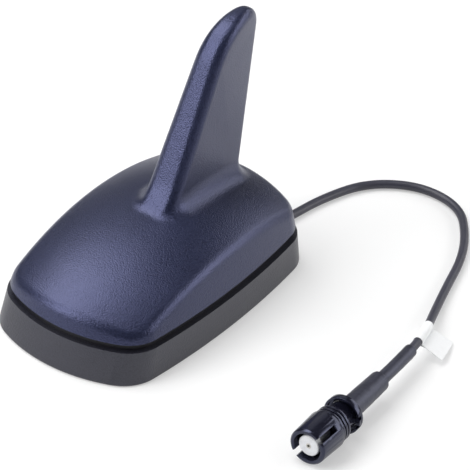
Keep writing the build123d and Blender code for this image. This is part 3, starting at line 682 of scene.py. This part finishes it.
class AERIAL_OT_lead(bpy.types.Operator):
    """Lay the lead from its boot to the plug, with its sleeves and its label"""
    bl_idname = "aerial.lead"
    bl_label = "Lead"

    def execute(self, context):
        settings = context.scene.aerial_lead
        jacket = lead_jacket(settings)
        line = LeadLine()
        lead = route_curve("lead")
        lead.data.bevel_depth = settings.diameter / 2
        lead.data.bevel_resolution = 5
        lead.data.use_fill_caps = True
        lead.data.materials.append(jacket)
        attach(lead, "root")
        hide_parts("coax_cable")
        paint(jacket, "cable_boot")
        sleeve = shrunk_sleeve(settings)
        pieces = [
            self.small_sleeve(settings, line, sleeve),
            self.large_sleeve(settings, line, sleeve),
            self.label(settings, line),
            *(bpy.data.objects[name] for name in PLUG_PIECES),
            NODES["plug_contact"],
            NODES["crimp_ferrule"],
        ]
        return {"FINISHED"}

    def small_sleeve(self, settings, line, material):
        """The long thin sleeve, with a rounded rear end."""
        outer = settings.small_sleeve_diameter / 2
        inner = settings.diameter / 2 + SLEEVE_GAP
        rear, front = -settings.small_sleeve_end, SMALL_SLEEVE_FRONT
        start = rear + SLEEVE_LIP
        steps = 40
        profile = [(rear, inner), (rear, outer - 0.25 * MM), (start, outer - 0.05 * MM)]
        for i in range(1, steps):
            profile.append((start + (front - start) * i / steps, outer))
        profile += [(front, outer), (front, inner)]
        bm = spun(profile, 40)
        wrinkle(bm, inner, settings.wrinkle * 0.7, seed=3.0)
        ragged(bm, rear, reach=0.7 * MM, depth=0.28 * MM, seed=9.0)
        line.lay(bm)
        shade(bm, CRISP_TURNED)
        return new_piece("small_sleeve_piece", bm, material, "shrink_sleeve", "small_sleeve")

    def large_sleeve(self, settings, line, material):
        """The short thick sleeve over the crimp, with a thinner rear end over the small one."""
        wide = settings.large_sleeve_diameter / 2
        narrow = wide - settings.taper
        inner = settings.small_sleeve_diameter / 2 + SLEEVE_GAP
        rear, front = LARGE_SLEEVE_REAR, LARGE_SLEEVE_FRONT
        start = rear + SLEEVE_LIP
        edge = SLEEVE_LIP * 0.3
        steps = 60
        profile = [(rear, inner), (rear, narrow - SLEEVE_LIP), (rear + edge, narrow - edge)]
        for i in range(1, steps):
            part = i / steps
            profile.append((start + (front - start) * part, narrow + (wide - narrow) * part))
        profile += [(front, wide), (front, CRIMP_ROOM)]
        profile += [(SMALL_SLEEVE_FRONT, CRIMP_ROOM), (SMALL_SLEEVE_FRONT, inner)]
        bm = spun(profile, 64)
        wrinkle(bm, CRIMP_ROOM + SLEEVE_GAP, settings.wrinkle, seed=7.0)
        ragged(bm, rear, reach=0.9 * MM, depth=0.32 * MM, seed=4.0)
        line.lay(bm)
        shade(bm, CRISP_TURNED)
        return new_piece("large_sleeve_piece", bm, material, "shrink_sleeve", "large_sleeve")

    def label(self, settings, line):
        """The paper label: wrapped round the lead, with its two ends laid together as a flag."""
        front = -settings.label_start
        rear = front - settings.label_length
        radius = settings.diameter / 2 + LABEL_GAP
        bm = bmesh.new()
        steps = 12
        row = [bm.verts.new((rear + (front - rear) * i / steps, radius, 0.0)) for i in range(steps + 1)]
        edges = [bm.edges.new(pair) for pair in zip(row, row[1:])]
        made = bmesh.ops.spin(bm, geom=row + edges, cent=(0, 0, 0), axis=(1, 0, 0),
                              angle=2 * pi * LABEL_WRAP, steps=36)
        last = [part for part in made["geom_last"] if isinstance(part, bmesh.types.BMEdge)]
        for loop, side in ((edges, 1), (last, -1)):
            for i in range(FLAG_STEPS):
                loop = self.extend(bm, loop, settings.flag_length / FLAG_STEPS, i < CLOSING_STEPS, side)
        bmesh.ops.rotate(bm, verts=bm.verts, cent=(0, 0, 0),
                         matrix=Matrix.Rotation(-settings.flag_droop, 3, "X"))
        line.lay(bm)
        bmesh.ops.recalc_face_normals(bm, faces=bm.faces)
        bmesh.ops.solidify(bm, geom=bm.faces, thickness=PAPER)
        bmesh.ops.recalc_face_normals(bm, faces=bm.faces)
        shade(bm, CRISP_PAPER)
        return new_piece("label", bm, label_paper(settings), "paper", "flag_label")

    def extend(self, bm, loop, step, closing, side):
        """One more step of the flag's upper or lower layer."""
        made = bmesh.ops.extrude_edge_only(bm, edges=loop)["geom"]
        verts = [part for part in made if isinstance(part, bmesh.types.BMVert)]
        for vert in verts:
            vert.co.y += step
            if closing:
                vert.co.z *= CLOSING
            elif abs(vert.co.z) < LAYERS_MEET:
                vert.co.z = LAYER_GAP * side
        return [part for part in made if isinstance(part, bmesh.types.BMEdge)
                and all(vert in verts for vert in part.verts)]


def seen_rays(tree):
    """1 for rays that show the white surroundings: seen straight, in a gloss or through glass."""
    rays = tree.nodes.new("ShaderNodeLightPath")
    first = tree.nodes.new("ShaderNodeMath")
    first.operation = "MAXIMUM"
    tree.links.new(rays.outputs["Is Camera Ray"], first.inputs[0])
    tree.links.new(rays.outputs["Is Glossy Ray"], first.inputs[1])
    second = tree.nodes.new("ShaderNodeMath")
    second.operation = "MAXIMUM"
    tree.links.new(first.outputs[0], second.inputs[0])
    tree.links.new(rays.outputs["Is Transmission Ray"], second.inputs[1])
    return second.outputs[0]


class AERIAL_OT_stage(bpy.types.Operator):
    """Set up the floor, the room, the lamps and the camera"""
    bl_idname = "aerial.stage"
    bl_label = "Stage"

    def execute(self, context):
        settings = context.scene.aerial_stage
        context.scene.view_settings.view_transform = "Standard"
        self.floor(settings)
        self.room(context, settings)
        for name, place in LAMPS.items():
            self.lamp(name, *place, getattr(settings, name))
        self.camera(context, settings)
        return {"FINISHED"}

    def floor(self, settings):
        """A white floor that keeps the aerial's shadow."""
        bm = bmesh.new()
        bmesh.ops.create_grid(bm, x_segments=1, y_segments=1, size=FLOOR_REACH)
        bmesh.ops.translate(bm, verts=bm.verts, vec=(0, 0, -FLOOR_DROP))
        mesh = bpy.data.meshes.new("floor")
        bm.to_mesh(mesh)
        bm.free()
        floor = bpy.data.objects.new("floor", mesh)
        bpy.context.collection.objects.link(floor)
        material = bpy.data.materials.new("white_floor")
        material.use_nodes = True
        tree = material.node_tree
        shader = tree.nodes["Principled BSDF"]
        shader.inputs["Roughness"].default_value = 1.0
        shader.inputs["Specular IOR Level"].default_value = 0.0
        shader.inputs["Emission Color"].default_value = (1.0, 1.0, 1.0, 1.0)
        shown = seen_rays(tree)
        levels = {
            "Emission Strength": (0.0, settings.floor_glow),
            "Base Color": (FLOOR_PLAIN, settings.floor_white),
        }
        for socket, (plain, seen) in levels.items():
            level = tree.nodes.new("ShaderNodeMapRange")
            level.inputs["To Min"].default_value = plain
            level.inputs["To Max"].default_value = seen
            tree.links.new(shown, level.inputs["Value"])
            tree.links.new(level.outputs["Result"], shader.inputs[socket])
        mesh.materials.append(material)

    def room(self, context, settings):
        """A plain dim room."""
        world = bpy.data.worlds.new("room")
        world.use_nodes = True
        context.scene.world = world
        background = world.node_tree.nodes["Background"]
        background.inputs["Color"].default_value = (1.0, 1.0, 1.0, 1.0)
        background.inputs["Strength"].default_value = settings.fill_light

    def lamp(self, name, bearing, height, width, tall, brightness):
        """A soft box in a direction given in degrees, with a brightness of its face, where 1 is white."""
        data = bpy.data.lights.new(name, "AREA")
        data.shape = "RECTANGLE"
        data.size = width
        data.size_y = tall
        data.energy = brightness * pi * width * tall
        lamp = bpy.data.objects.new(name, data)
        bpy.context.collection.objects.link(lamp)
        across, above = radians(bearing), radians(height)
        towards = Vector((sin(across) * cos(above), -cos(across) * cos(above), sin(above)))
        lamp.location = Vector(LAMP_CENTRE) + towards * LAMP_DISTANCE
        lamp.rotation_euler = towards.to_track_quat("Z", "Y").to_euler()
        lamp.visible_camera = False

    def camera(self, context, settings):
        """The camera, from its bearing, its height and the lean of its picture."""
        data = bpy.data.cameras.new("camera")
        data.sensor_width = 36.0
        data.lens = settings.focal
        data.clip_start = 0.05
        data.clip_end = 60.0
        camera = bpy.data.objects.new("camera", data)
        bpy.context.collection.objects.link(camera)
        flat = Vector((sin(settings.azimuth), -cos(settings.azimuth), 0.0))
        back = flat * cos(settings.elevation) + Vector((0, 0, sin(settings.elevation)))
        level = Vector((0, 0, 1)).cross(back).normalized()
        above = back.cross(level)
        right = level * cos(settings.lean) + above * sin(settings.lean)
        up = above * cos(settings.lean) - level * sin(settings.lean)
        middle = Vector(CAMERA_CENTRE)
        camera.location = middle + back * settings.distance
        aim = middle + right * AIM_RIGHT + up * AIM_UP
        back = (camera.location - aim).normalized()
        right = up.cross(back).normalized()
        up = back.cross(right)
        camera.rotation_mode = "QUATERNION"
        camera.rotation_quaternion = Matrix((right, up, back)).transposed().to_quaternion()
        context.scene.camera = camera


class AERIAL_PT_pieces(bpy.types.Panel):
    """The aerial's pieces and the settings of each"""
    bl_idname = "AERIAL_PT_pieces"
    bl_label = "Roof Aerial"
    bl_space_type = "VIEW_3D"
    bl_region_type = "UI"
    bl_category = "Roof Aerial"

    def draw(self, context):
        for operator, group in PANEL_BOXES:
            box = self.layout.box()
            box.operator(operator)
            if group:
                settings = getattr(context.scene, group)
                for key in GROUPS[group].__annotations__:
                    box.prop(settings, key)


PANEL_BOXES = (
    ("aerial.housing", "aerial_housing"),
    ("aerial.fittings", None),
    ("aerial.plug", "aerial_plug"),
    ("aerial.lead", "aerial_lead"),
    ("aerial.stage", "aerial_stage"),
)
GROUPS = {
    "aerial_housing": HousingSettings,
    "aerial_lead": LeadSettings,
    "aerial_plug": PlugSettings,
    "aerial_stage": StageSettings,
}
CLASSES = (
    *GROUPS.values(),
    AERIAL_OT_housing,
    AERIAL_OT_fittings,
    AERIAL_OT_plug,
    AERIAL_OT_lead,
    AERIAL_OT_stage,
    AERIAL_PT_pieces,
)


def register():
    for made in CLASSES:
        bpy.utils.register_class(made)
    for name, group in GROUPS.items():
        setattr(bpy.types.Scene, name, PointerProperty(type=group))


def unregister():
    for name in GROUPS:
        delattr(bpy.types.Scene, name)
    for made in reversed(CLASSES):
        bpy.utils.unregister_class(made)


def main():
    register()
    bpy.ops.aerial.housing()
    bpy.ops.aerial.fittings()
    bpy.ops.aerial.plug()
    bpy.ops.aerial.lead()
    bpy.ops.aerial.stage()


if __name__ == "__main__":
    main()
